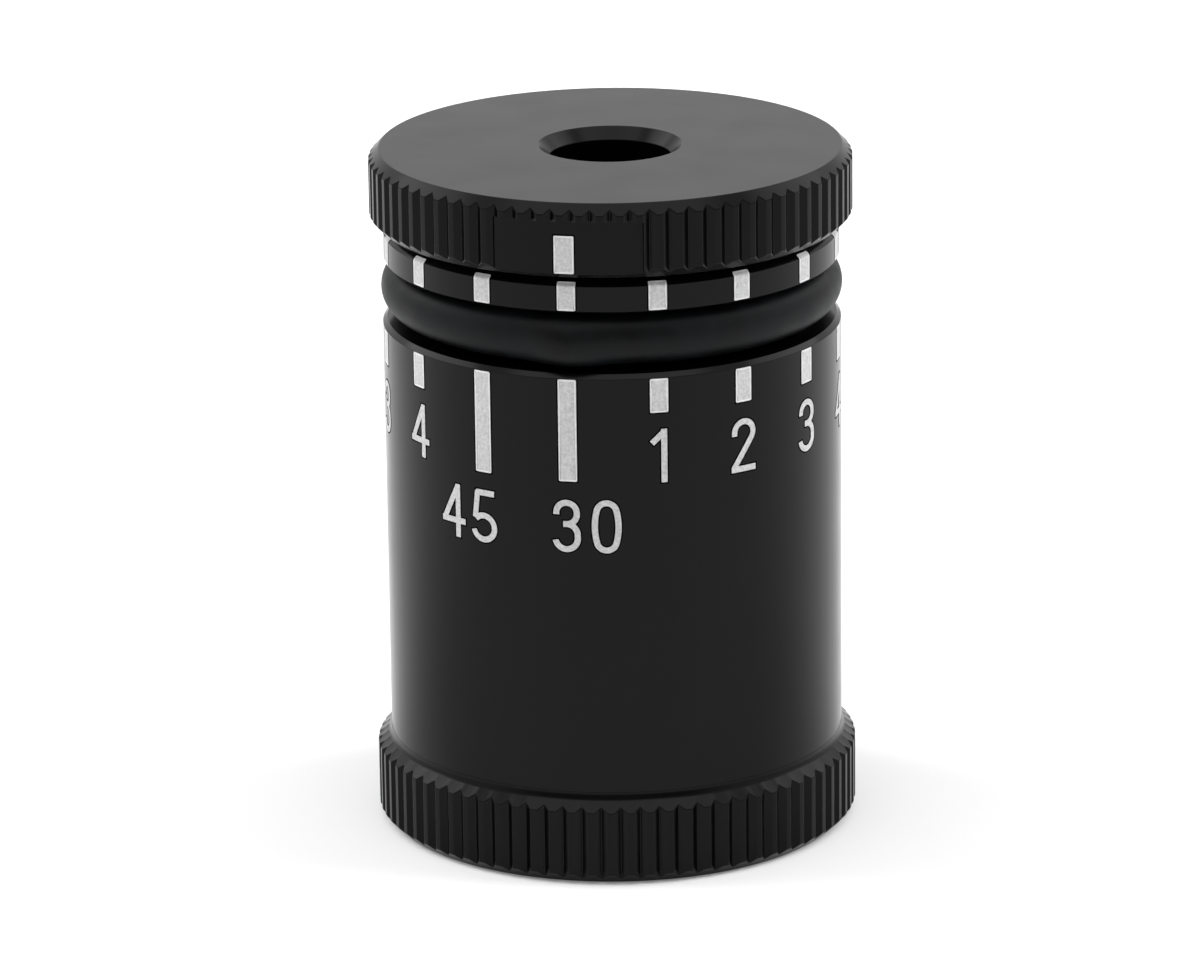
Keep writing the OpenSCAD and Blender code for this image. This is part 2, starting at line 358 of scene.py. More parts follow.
class Graph:
    """A node tree, with short calls to add and link its nodes."""

    def __init__(self, tree: bpy.types.NodeTree) -> None:
        """Takes a node tree and clears it."""
        self.tree = tree
        tree.nodes.clear()

    def add(
        self, kind: str, inputs: dict[str | int, object] | None = None, **settings: object
    ) -> bpy.types.Node:
        """Adds a node.

        Args:
            kind: Name of the node's type, without its ShaderNode prefix.
            inputs: Value or linked socket for each input, by name or number.
            settings: Properties of the node.

        Returns:
            The node.
        """
        node = self.tree.nodes.new(kind if kind.startswith("Node") else "ShaderNode" + kind)
        for name, value in settings.items():
            setattr(node, name, value)
        for name, value in (inputs or {}).items():
            if isinstance(value, Socket):
                self.tree.links.new(value, node.inputs[name])
            else:
                node.inputs[name].default_value = value
        return node

    def math(self, operation: str, *values: object) -> Socket:
        """Adds a Math node and gives its result."""
        return self.add("Math", dict(enumerate(values)), operation=operation).outputs[0]

    def mix(self, share: object, first: object, second: object) -> Socket:
        """Adds a mix of two colours and gives its result."""
        node = self.add("Mix", {0: share, 6: first, 7: second}, data_type="RGBA")
        return node.outputs[2]

    def spread(self, value: Socket, reach: Point, first: object, last: object) -> Socket:
        """Maps a reach of a value to what lies between a first and a last one."""
        inputs = {0: value, 1: reach[0], 2: reach[1], 3: first, 4: last}
        return self.add("MapRange", inputs).outputs[0]

    def group(self, effect: "Effect", **inputs: object) -> bpy.types.Node:
        """Places a shared effect with its own values."""
        return self.add("Group", inputs, node_tree=effect.tree())


class Effect:
    """A surface effect that several finishes share, as a node group that is built once."""

    name = "effect"
    inputs: dict[str, float] = {}
    outputs: tuple[str, ...] = ()

    def tree(self) -> bpy.types.NodeTree:
        """Builds the effect's node group the first time.

        Returns:
            The node group.
        """
        known = bpy.data.node_groups.get(self.name)
        if known:
            return known
        tree = bpy.data.node_groups.new(self.name, "ShaderNodeTree")
        tree.interface.new_socket("Place", in_out="INPUT", socket_type="NodeSocketVector")
        for name, value in self.inputs.items():
            socket = tree.interface.new_socket(name, in_out="INPUT", socket_type="NodeSocketFloat")
            socket.default_value = value
        for name in self.outputs:
            tree.interface.new_socket(name, in_out="OUTPUT", socket_type="NodeSocketFloat")
        graph = Graph(tree)
        source = graph.add("NodeGroupInput")
        results = self.build(graph, source)
        graph.add("NodeGroupOutput", dict(zip(self.outputs, results)))
        return tree

    def build(self, graph: Graph, source: bpy.types.Node) -> tuple[Socket, ...]:
        """Builds the effect's nodes.

        Args:
            graph: The group's node tree.
            source: The group's input node.

        Returns:
            One socket for each output.
        """
        raise NotImplementedError


class TurningLines(Effect):
    """Fine rings that the lathe leaves, along the radius on faces and the height on sides."""

    name = "turning_lines"
    inputs = {"Pitch": 0.0001, "Chatter": 0.5, "Wander": 420.0}
    outputs = ("Height",)

    def build(self, graph: Graph, source: bpy.types.Node) -> tuple[Socket, ...]:
        """Builds rings whose spacing and depth wander a little.

        Args:
            graph: The group's node tree.
            source: The group's input node.

        Returns:
            One socket for each output.
        """
        place = source.outputs["Place"]
        x, y, z = graph.add("SeparateXYZ", {0: place}).outputs
        square = graph.math("ADD", graph.math("MULTIPLY", x, x), graph.math("MULTIPLY", y, y))
        along = graph.math("ADD", graph.math("SQRT", square), z)
        count = graph.math("DIVIDE", along, source.outputs["Pitch"])
        rings = graph.add("TexNoise", {"W": count, "Scale": 1.0, "Detail": 2.0}, noise_dimensions="1D")
        scale = source.outputs["Wander"]
        wander = graph.add("TexNoise", {"Vector": place, "Scale": scale, "Detail": 2.0})
        share = graph.math("MULTIPLY", wander.outputs[0], source.outputs["Chatter"])
        return (graph.math("MULTIPLY", rings.outputs[0], graph.math("ADD", share, 0.5)),)


class Mottle(Effect):
    """Soft cloudy change over a surface, with a fine grain on top."""

    name = "mottle"
    inputs = {"Cloud": 300.0, "Grain": 9000.0}
    outputs = ("Cloud", "Grain")

    def build(self, graph: Graph, source: bpy.types.Node) -> tuple[Socket, ...]:
        """Builds the clouds and the grain from noise.

        Args:
            graph: The group's node tree.
            source: The group's input node.

        Returns:
            One socket for each output.
        """
        place = source.outputs["Place"]
        cloud = graph.add("TexNoise", {"Vector": place, "Scale": source.outputs["Cloud"], "Detail": 4.0})
        grain = graph.add("TexNoise", {"Vector": place, "Scale": source.outputs["Grain"], "Detail": 3.0})
        return cloud.outputs[0], grain.outputs[0]


class Dust(Effect):
    """A few pale specks that lie on a dark surface."""

    name = "dust"
    inputs = {"Spacing": 0.002, "Share": 0.3, "Size": 0.00005}
    outputs = ("Mask",)

    def build(self, graph: Graph, source: bpy.types.Node) -> tuple[Socket, ...]:
        """Builds specks at some of the points of a scattered pattern.

        Args:
            graph: The group's node tree.
            source: The group's input node.

        Returns:
            One socket for each output.
        """
        scale = graph.math("DIVIDE", 1.0, source.outputs["Spacing"])
        cells = graph.add("TexVoronoi", {"Vector": source.outputs["Place"], "Scale": scale})
        chance = graph.add("SeparateColor", {0: cells.outputs["Color"]})
        chosen = graph.math("LESS_THAN", chance.outputs[0], source.outputs["Share"])
        reach = graph.math("DIVIDE", source.outputs["Size"], source.outputs["Spacing"])
        own = graph.math("MULTIPLY", reach, graph.math("ADD", chance.outputs[1], 0.3))
        speck = graph.math("LESS_THAN", cells.outputs["Distance"], own)
        return (graph.math("MULTIPLY", chosen, speck),)


def grey(value: float, warm: float = 0.0) -> Colour:
    """Gives a grey, a little warm or, with a negative share, cold."""
    return value * (1 + warm), value, value * (1 - warm)


@dataclass(frozen=True)
class Finish:
    """The look of a surface: a colour that wanders, a gloss, and the marks of its making.

    Attributes:
        name: Name of the material.
        dark: Darker end of its colour.
        light: Lighter end of its colour.
        roughness: Least and greatest roughness.
        grain_depth: Depth of the fine grain in metres.
        metallic: Share of bare metal.
        ior: Index of refraction, which sets the gloss of what isn't metal.
        line_pitch: Spacing of turning lines in metres.
        line_depth: Depth of turning lines in metres.
        dust_share: Share of the dust pattern's points that hold a speck.
        cloud_size: Size in metres of the clouds in its colour.
        cloud_reach: Values of the cloud noise at the darker and the lighter end.
        dust: Colour of the dust.
    """

    name: str
    dark: Colour
    light: Colour
    roughness: tuple[float, float]
    grain_depth: float
    metallic: float = 0.0
    ior: float = 1.45
    line_pitch: float = 0.00006
    line_depth: float = 0.0
    dust_share: float = 0.0
    cloud_size: float = 0.003
    cloud_reach: tuple[float, float] = (0.3, 0.7)
    dust: Colour = grey(0.22)

    def material(self) -> bpy.types.Material:
        """Builds the finish's material the first time.

        Returns:
            The material.
        """
        name = f"{self.name}_look"
        known = bpy.data.materials.get(name)
        if known:
            return known
        material = bpy.data.materials.new(name)
        material.use_nodes = True
        graph = Graph(material.node_tree)
        place = graph.add("TexCoord").outputs["Object"]
        mottle = graph.group(Mottle(), Place=place, Cloud=1 / self.cloud_size)
        share = graph.spread(mottle.outputs["Cloud"], self.cloud_reach, 0, 1)
        colour = graph.mix(share, (*self.dark, 1), (*self.light, 1))
        if self.dust_share:
            specks = graph.group(Dust(), Place=place, Share=self.dust_share).outputs["Mask"]
            colour = graph.mix(specks, colour, (*self.dust, 1))
        inputs = {
            "Base Color": colour,
            "Roughness": graph.spread(share, (0, 1), *self.roughness),
            "Metallic": self.metallic,
            "IOR": self.ior,
            "Normal": self.relief(graph, place, mottle.outputs["Grain"]),
        }
        surface = graph.add("BsdfPrincipled", inputs)
        graph.add("OutputMaterial", {"Surface": surface.outputs[0]})
        return material

    def relief(self, graph: Graph, place: Socket, grain: Socket) -> Socket:
        """Adds the turning lines, if it has any, and over them the grain as bumps.

        Args:
            graph: The material's node tree.
            place: Place on the piece.
            grain: Value of the fine grain.

        Returns:
            The normal of the bumpy surface.
        """
        bumps = {"Height": grain, "Distance": self.grain_depth}
        if self.line_depth:
            lines = graph.group(TurningLines(), Place=place, Pitch=self.line_pitch)
            below = {"Height": lines.outputs["Height"], "Distance": self.line_depth}
            bumps["Normal"] = graph.add("Bump", below).outputs[0]
        return graph.add("Bump", bumps).outputs[0]


ANODISED_CAP = Finish(
    "anodised_cap",
    grey(0.0006, 0.1),
    grey(0.0012, 0.1),
    (0.2, 0.26),
    3e-7,
    ior=1.22,
    line_depth=4e-7,
    dust_share=0.05,
)
ANODISED_FOOT = replace(ANODISED_CAP, name="anodised_foot", ior=1.225)
ANODISED_BARREL = replace(
    ANODISED_CAP,
    name="anodised_barrel",
    roughness=(0.14, 0.2),
    grain_depth=2e-7,
    ior=1.238,
    line_depth=2e-7,
    dust_share=0.03,
)
ANODISED_PLUNGER = Finish(
    "anodised_plunger", grey(0.0008, 0.1), grey(0.0016, 0.1), (0.18, 0.24), 3e-7, ior=1.25, line_depth=5e-7
)
RUBBER = Finish(
    "rubber",
    grey(0.001, -0.1),
    grey(0.005, -0.2),
    (0.42, 0.56),
    1.5e-6,
    ior=1.24,
    dust_share=0.22,
    cloud_size=0.0016,
)
LASER_RIM = Finish("laser_rim", grey(0.66), grey(0.82), (0.4, 0.55), 2e-6, cloud_size=0.0002)
LASER_FIELD = replace(
    LASER_RIM,
    name="laser_field",
    dark=grey(0.46),
    light=grey(0.66),
    line_pitch=0.00003,
    line_depth=1.5e-6,
    cloud_size=0.00012,
)
# Near-black, rough and hardly glossy: the dark edge laid round each mark, under its pale layer
DARK_EDGE = Finish("dark_edge", grey(0.0002), grey(0.0006), (0.8, 0.9), 1e-6, ior=1.04)
BRIGHT_STEEL = Finish(
    "bright_steel", grey(0.6, -0.02), grey(0.72, -0.02), (0.1, 0.16), 1e-7, metallic=1.0, line_depth=2e-7
)
DARK_STEEL = Finish(
    "dark_steel", grey(0.03), grey(0.06), (0.3, 0.42), 8e-7, metallic=0.5, line_depth=8e-7, dust_share=0.05
)
GUIDE_PLASTIC = Finish(
    "guide_plastic", grey(0.66, 0.03), grey(0.76, 0.03), (0.4, 0.5), 1e-6, ior=1.38, line_depth=8e-7
)
BRONZE = Finish(
    "bronze", (0.36, 0.21, 0.08), (0.5, 0.31, 0.13), (0.22, 0.34), 4e-7, metallic=1.0, line_depth=8e-7
)


def fit(piece: bpy.types.Object, body: str, *finishes: Finish, node: str | None = None) -> None:
    """Gives a finished piece its materials and its place on the moving frame.

    Args:
        piece: The piece, in metres.
        body: The body that it rides on.
        finishes: Its finishes, in the order of its faces' material numbers.
        node: The node that it stands for, if there is one.
    """
    for finish in finishes:
        piece.data.materials.append(finish.material())
    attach(piece, body)
    if node:
        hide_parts(node)
    log.info("%s rides on %s with %d faces", piece.name, body, len(piece.data.polygons))


class NodePiece:
    """A piece that is modelled again and stands for a node of the frame.

    Attributes:
        node: The node.
        body: The body that it rides on.
        finish: Its finish.
        marked: Whether marks are laid on it, for which a copy is kept in millimetres.
    """

    node: ClassVar[str]
    body: ClassVar[str] = "base"
    finish: ClassVar[Finish]
    marked: ClassVar[bool] = False

    def __post_init__(self) -> None:
        """Takes the outer sizes from the frame."""
        low, high = box_mm(self.node)
        self.radius, self.bottom, self.top = high.x, low.z, high.z

    def build(self) -> Bench:
        """Models the piece.

        Returns:
            The piece in millimetres.
        """
        raise NotImplementedError

    def dress(self) -> None:
        """Builds the piece, gives it its finish and puts it on its body."""
        bench = self.build()
        if self.marked:
            self.face = bench.copy()
        fit(bench.finish(), self.body, self.finish, node=self.node)


@dataclass(frozen=True)
class Knurl:
    """Straight knurl of the cap and the foot.

    Attributes:
        teeth: Number of teeth.
        start: Steps from the index line to the first crest on its right.
        depth: Depth of the grooves.
        steps: Vertices in one tooth pitch, an even number.
        crest: Flat share of the pitch at the crest.
        softness: Width of the rounding on its edges.
    """

    teeth: int
    start: int
    depth: float = 0.21
    steps: int = 12
    crest: float = 1 / 3
    softness: float = 0.03

    @property
    def count(self) -> int:
        """Vertices all round."""
        return self.teeth * self.steps

    @property
    def pitch(self) -> float:
        """Angle from one tooth to the next."""
        return math.tau / self.teeth

    def share(self, place: Vector) -> float:
        """Says how far a place lies from a crest.

        Args:
            place: A place on the knurl.

        Returns:
            The share of the way, from 0 on a crest to 1 in a root.
        """
        turn = math.atan2(place.x, -place.y) / self.pitch - self.start / self.steps
        return 1 - 2 * abs(turn % 1 - 0.5)

    def press(self, bench: Bench, radius: float, low: float, high: float) -> None:
        """Presses the grooves in between two rings, running out on slopes of 45 degrees.

        Args:
            bench: The turned piece.
            radius: Radius of the crests.
            low: Height of the lower ring.
            high: Height of the upper ring.
        """
        half = self.steps // 2
        for step in range(1, half + 1):
            flank = (step / half - self.crest) / (1 - self.crest)
            sink = self.depth * max(0.0, flank)
            for height, way in ((low, -1), (high, 1)):

                def groove(place: Vector) -> bool:
                    """Says whether a place is on this ring and this far from a crest."""
                    on_ring = abs(place.z - height) < TINY and abs(place.xy.length - radius) < TINY
                    return on_ring and abs(self.share(place) * half - step) < 0.5

                bench.select(groove)
                bench.widen(1 - sink / radius)
                bench.move(z=way * sink)


def drill(side: Sequence[Point], place: Vector) -> Bench:
    """Makes a round cutter that stands upright.

    Args:
        side: Radius and height of each corner of its side, from the bottom up.
        place: Where it stands.

    Returns:
        The cutter.
    """
    cutter = Bench("drill")
    cutter.turn(side, DRILL_SIDES, solid=True)
    cutter.select_all()
    cutter.move(place.x, place.y)
    cutter.outward()
    return cutter


def dowel_drill(gap: float, below: float = 0.0, above: float = 0.0) -> Bench:
    """Makes the cutter of the index dowel's hole.

    Args:
        gap: Space round the dowel.
        below: Space below it.
        above: Space above it.

    Returns:
        The cutter.
    """
    low, high = box_mm("index_dowel")
    radius = (high.x - low.x) / 2 + gap
    return drill([(radius, low.z - below), (radius, high.z + above)], (low + high) / 2)


@dataclass
class Cap(NodePiece):
    """Knurled cap with a smooth window for the index line.

    Attributes:
        knurl: Its knurl.
        hole_radius: Radius of the hole in its middle.
        top_chamfer: Chamfer round its measuring face.
        bottom_chamfer: Chamfer round its underside.
        hole_chamfer: Chamfer at the mouth of the hole.
        socket_radius: Radius of the socket for the plunger's spigot.
        socket_depth: Depth of that socket.
        window_ends: Angles in degrees from the index line to the window's ends.
        window_depth: How far the window lies below the crests.
        window_land: Height of the knurl left above the window.
        window_steps: Steps round the window.
        dowel_gap: Space round the index dowel.
    """

    node = "cap"
    body = "head"
    finish = ANODISED_CAP
    marked = True

    knurl: Knurl
    hole_radius: float
    top_chamfer: float = 0.45
    bottom_chamfer: float = 0.4
    hole_chamfer: float = 0.5
    socket_radius: float = 4.52
    socket_depth: float = 1.62
    window_ends: tuple[float, float] = (-17.5, 18.8)
    window_depth: float = 0.22
    window_land: float = 0.3
    window_steps: int = 48
    dowel_gap: float = 0.02

    @property
    def window_radius(self) -> float:
        """Radius of the window's face."""
        return self.radius - self.window_depth

    @property
    def window_low(self) -> float:
        """Height at which the window's face ends above the lower chamfer."""
        return self.bottom + self.bottom_chamfer - self.window_depth

    def build(self) -> Bench:
        """Turns the cap, knurls it and cuts its window and the dowel's hole.

        Returns:
            The cap.
        """
        bench = Bench("cap_body")
        low = self.bottom + self.bottom_chamfer
        high = self.top - self.top_chamfer
        profile = [
            (self.socket_radius, self.bottom),
            (self.radius - self.bottom_chamfer, self.bottom),
            (self.radius, low),
            (self.radius, high),
            (self.radius - self.top_chamfer, self.top),
            (self.hole_radius + self.hole_chamfer, self.top),
            (self.hole_radius, self.top - self.hole_chamfer),
            (self.hole_radius, self.bottom + self.socket_depth),
            (self.socket_radius, self.bottom + self.socket_depth),
        ]
        bench.turn(profile, self.knurl.count)
        self.knurl.press(bench, self.radius, low, high)
        bench.soften(self.knurl.softness)
        bench.join(self.window_cutter(), Join.CUT)
        bench.join(dowel_drill(self.dowel_gap, above=self.dowel_gap), Join.CUT)
        return bench

    def window_cutter(self) -> Bench:
        """Spins a flat blade round the axis into the cutter of the window.

        Returns:
            The cutter.
        """
        cutter = Bench("window_cutter")
        low = self.bottom - PAST
        high = self.top - self.top_chamfer - self.window_land
        left, right = (math.radians(end) for end in self.window_ends)
        centre = round_place(self.window_radius + PAST / 2, left, (low + high) / 2)
        upright = (math.pi / 2, 0, left - math.pi / 2)
        bpy.ops.mesh.primitive_plane_add(size=PAST, location=centre, rotation=upright)
        bpy.ops.transform.resize(value=(1, 1, (high - low) / PAST), center_override=centre)
        cutter.swing(right - left, self.window_steps, (0, 0, 0), (0, 0, 1))
        cutter.outward()
        return cutter


@dataclass
class Plunger(NodePiece):
    """Plunger with the helical track of the ball and its click seats.

    Attributes:
        hole_radius: Radius of the hole through it.
        lead: Rise of the track in one full turn.
        marks: Scale marks in one full turn, each with a click seat.
        chamfer: Chamfer round its lower end.
        guide_floor: Radius of the floor of the guide ring's groove.
        guide_gap: Space above and below the guide ring.
        spigot_radius: Radius of the spigot in the cap.
        track_radius: Radius of the track's section.
        seat_depth: How much deeper a click seat lies.
        dowel_gap: Space round the index dowel.
        segments: Vertices in a ring.
        track_sides: Vertices in the track's section.
        track_steps: Steps along the track.
        seat_sides: Vertices round a seat and rings up it.
        seat_tilt: Tilt of a seat's poles in radians.
    """

    node = "plunger"
    body = "head"
    finish = ANODISED_PLUNGER

    hole_radius: float
    lead: float = 16.0
    marks: int = MARKS
    chamfer: float = 0.2
    guide_floor: float = 5.7
    guide_gap: float = 0.03
    spigot_radius: float = 4.5
    track_radius: float = 1.33
    seat_depth: float = 0.2
    dowel_gap: float = 0.02
    segments: int = 192
    track_sides: int = 32
    track_steps: int = 180
    seat_sides: tuple[int, int] = (32, 24)
    seat_tilt: tuple[float, float] = (0.5, 0.3)

    def __post_init__(self) -> None:
        """Takes the outer sizes and the ball's path from the frame."""
        super().__post_init__()
        self.shoulder = box_mm("cap")[0].z
        low_ball, high_ball = box_mm("detent_ball")
        self.ball = (low_ball + high_ball) / 2
        low_ring, high_ring = box_mm("guide_ring")
        self.guide_low = low_ring.z - self.guide_gap
        self.guide_high = high_ring.z + self.guide_gap

    @property
    def pitch(self) -> float:
        """Angle from one click seat to the next."""
        return math.tau / self.marks

    def build(self) -> Bench:
        """Turns the plunger and cuts the click seats, the track and the dowel's hole.

        Returns:
            The plunger.
        """
        bench = Bench("plunger_body")
        profile = [
            (self.hole_radius, self.bottom),
            (self.radius - self.chamfer, self.bottom),
            (self.radius, self.bottom + self.chamfer),
            (self.radius, self.guide_low),
            (self.guide_floor, self.guide_low),
            (self.guide_floor, self.guide_high),
            (self.radius, self.guide_high),
            (self.radius, self.shoulder),
            (self.spigot_radius, self.shoulder),
            (self.spigot_radius, self.top),
            (self.hole_radius, self.top),
        ]
        bench.turn(profile, self.segments)
        bench.join(self.seat_cutter(), Join.CUT)
        bench.join(self.track_cutter(), Join.CUT)
        bench.join(dowel_drill(self.dowel_gap, below=self.dowel_gap), Join.CUT)
        return bench

    def track_cutter(self) -> Bench:
        """Sweeps the track's section along its helix.

        Returns:
            The cutter.
        """
        path_radius = -self.ball.y
        slope = math.atan(self.lead / (math.tau * path_radius))
        sweep = self.pitch * (self.marks - 1)
        drop = self.lead * sweep / math.tau
        cutter = Bench("track_cutter")
        start = round_place(path_radius, -sweep, self.ball.z - drop)
        bpy.ops.mesh.primitive_circle_add(
            vertices=self.track_sides,
            radius=self.track_radius,
            location=start,
            rotation=(math.pi / 2, 0, -math.pi / 2 - sweep),
        )
        bpy.ops.transform.resize(value=(1, 1, 1 / math.cos(slope)), center_override=start)
        cutter.apply(
            "SCREW",
            axis="Z",
            angle=sweep,
            screw_offset=drop,
            steps=self.track_steps,
            render_steps=self.track_steps,
        )
        cutter.take()
        cutter.select_all()
        bpy.ops.mesh.fill_holes(sides=0)
        cutter.outward()
        return cutter

    def seat_cutter(self) -> Bench:
        """Sets a ball at every click of the track.

        Returns:
            The cutter.
        """
        cutter = Bench("seat_cutter")
        segments, rings = self.seat_sides
        for mark in range(self.marks):
            turn = mark * self.pitch
            height = self.ball.z - self.lead * turn / math.tau
            bpy.ops.mesh.primitive_uv_sphere_add(
                segments=segments,
                ring_count=rings,
                radius=self.track_radius,
                location=round_place(-self.ball.y - self.seat_depth, -turn, height),
                rotation=(*self.seat_tilt, turn),
            )
        return cutter


@dataclass
class FootScrews:
    """Where the screws of the foot sit.

    Attributes:
        count: Number of screws.
        shank_radius: Radius of a shank.
        head_radius: Radius of a head.
    """

    count: int = 3
    shank_radius: float = 1.0
    head_radius: float = 1.75

    def __post_init__(self) -> None:
        """Takes the heights and the circle of the screws from the frame."""
        low, high = box_mm("foot_screws")
        self.bottom = low.z
        self.top = high.z
        self.circle_radius = high.y - self.head_radius

    def drills(self, side: Sequence[Point]) -> Bench:
        """Makes the cutters of all the screws' holes.

        Args:
            side: Radius and height of each corner of a cutter's side, from the bottom up.

        Returns:
            The cutters in one piece.
        """
        cutter = drill(side, round_place(self.circle_radius, math.pi / self.count))
        cutter.copy_round(self.count, math.tau / self.count)
        return cutter


@dataclass
class Barrel(NodePiece):
    """Barrel with its collar, the groove of the rubber ring and the holes it is fastened by.

    Attributes:
        bore_radius: Radius of the bore.
        bush_gap: Space round the throat bush.
        collar_inset: How far the collar stands back from the barrel.
        collar_chamfer: Chamfer round the collar's top.
        collar_break: Chamfer round the collar's lower edge.
        collar_gap: Space between the rubber ring and the collar.
        ring_gap: Space below the rubber ring.
        ring_flat: How far the rubber ring is pressed flat on the groove's floor.
        seat_gap: Space between the rubber ring and the groove's floor.
        chamfer: Chamfer below the groove.
        softness: Width of the rounding on its edges.
        ball_gap: Space round the ball.
        screw_gap: Space round a screw.
        segments: Vertices in a ring.
    """

    node = "barrel"
    finish = ANODISED_BARREL
    marked = True

    bore_radius: float = 6.62
    bush_gap: float = 0.02
    collar_inset: float = 0.08
    collar_chamfer: float = 0.45
    collar_break: float = 0.1
    collar_gap: float = 0.1
    ring_gap: float = 0.225
    ring_flat: float = 0.35
    seat_gap: float = 0.02
    chamfer: float = 0.2
    softness: float = 0.015
    ball_gap: float = 0.03
    screw_gap: float = 0.02
    segments: int = 320

    def __post_init__(self) -> None:
        """Takes the outer sizes and the ring's place from the frame."""
        super().__post_init__()
        ring_low, ring_high = box_mm("detent_ring")
        self.groove_low = ring_low.z - self.ring_gap
        self.groove_high = ring_high.z + self.collar_gap
        self.marks_top = self.groove_low - self.chamfer
        self.collar_radius = self.radius - self.collar_inset
        section = ring_high.z - ring_low.z
        self.floor_radius = ring_high.x - section + self.ring_flat - self.seat_gap

    def build(self) -> Bench:
        """Turns the barrel and drills the holes of the ball and of the screws.

        Returns:
            The barrel.
        """
        bench = Bench("barrel_body")
        low_bush, high_bush = box_mm("throat_bush")
        seat = high_bush.x + self.bush_gap
        profile = [
            (self.bore_radius, self.bottom),
            (self.radius, self.bottom),
            (self.radius, self.marks_top),
            (self.radius - self.chamfer, self.groove_low),
            (self.floor_radius, self.groove_low),
            (self.floor_radius, self.groove_high),
            (self.collar_radius - self.collar_break, self.groove_high),
            (self.collar_radius, self.groove_high + self.collar_break),
            (self.collar_radius, self.top - self.collar_chamfer),
            (self.collar_radius - self.collar_chamfer, self.top),
            (seat, self.top),
            (seat, low_bush.z),
            (self.bore_radius, low_bush.z),
        ]
        bench.turn(profile, self.segments)
        bench.soften(self.softness)
        bench.join(self.ball_drill(), Join.CUT)
        screws = FootScrews()
        radius = screws.shank_radius + self.screw_gap
        end = screws.top + 2 * self.screw_gap
        bench.join(screws.drills([(radius, self.bottom - PAST), (radius, end)]), Join.CUT)
        return bench

    def ball_drill(self) -> Bench:
        """Lays the cutter of the ball's hole across the barrel's front wall.

        Returns:
            The cutter.
        """
        low, high = box_mm("detent_ball")
        cutter = Bench("ball_drill")
        middle = round_place((self.floor_radius + self.bore_radius) / 2, 0, (low.z + high.z) / 2)
        bpy.ops.mesh.primitive_cylinder_add(
            vertices=DRILL_SIDES,
            radius=(high.z - low.z) / 2 + self.ball_gap,
            depth=2 * (self.floor_radius - self.bore_radius),
            location=middle,
            rotation=(math.pi / 2, 0, 0),
        )
        return cutter


@dataclass
class Foot(NodePiece):
    """Knurled foot with a fillet into the line of the barrel.

    Attributes:
        knurl: Its knurl.
        band: Height of the knurled band.
        chamfer: Chamfer round its bottom face.
        fillet: Radius of the fillet below the barrel.
        fillet_turn: Angle of the fillet in degrees.
        fillet_steps: Steps in the fillet.
        boss_radius: Radius of the boss that centres the barrel.
        edge_break: Radius of the rounding at the joint with the barrel.
        edge_steps: Steps in that rounding.
        screw_gap: Space round a screw.
    """

    node = "foot"
    finish = ANODISED_FOOT

    knurl: Knurl
    band: float = 3.25
    chamfer: float = 0.45
    fillet: float = 0.5
    fillet_turn: float = 45.0
    fillet_steps: int = 10
    boss_radius: float = 6.6
    edge_break: float = 0.008
    edge_steps: int = 4
    screw_gap: float = 0.03

    def __post_init__(self) -> None:
        """Takes the outer sizes and the joint with the barrel from the frame."""
        super().__post_init__()
        low_barrel, high_barrel = box_mm("barrel")
        self.neck = high_barrel.x
        self.height = low_barrel.z

    def build(self) -> Bench:
        """Turns the foot, knurls it and cuts the countersunk holes of the screws.

        Returns:
            The foot.
        """
        low = self.bottom + self.chamfer
        side = [(self.radius - self.chamfer, self.bottom), (self.radius, low), (self.radius, self.band)]
        centre = self.height - self.edge_break
        for step in range(self.fillet_steps + 1):
            angle = math.radians(self.fillet_turn) * (1 - step / self.fillet_steps)
            radius = self.neck + self.fillet * (1 - math.cos(angle))
            side.append((radius, centre - self.fillet * math.sin(angle)))
        for step in range(1, self.edge_steps + 1):
            angle = math.pi / 2 * step / self.edge_steps
            radius = self.neck - self.edge_break * (1 - math.cos(angle))
            side.append((radius, centre + self.edge_break * math.sin(angle)))
        side += [(self.boss_radius, self.height), (self.boss_radius, self.top)]
        bench = Bench("foot_body")
        bench.turn(side, self.knurl.count, solid=True)
        self.knurl.press(bench, self.radius, low, self.band)
        bench.soften(self.knurl.softness)
        bench.join(self.screw_cutter(), Join.CUT)
        return bench

    def screw_cutter(self) -> Bench:
        """Makes the cutter of the countersunk holes.

        Returns:
            The cutter.
        """
        screws = FootScrews()
        head = screws.head_radius + self.screw_gap
        shank = screws.shank_radius + self.screw_gap
        cone_top = screws.bottom + (screws.head_radius - screws.shank_radius)
        return screws.drills(
            [(head, self.bottom - PAST), (head, screws.bottom), (shank, cone_top), (shank, self.top + PAST)]
        )


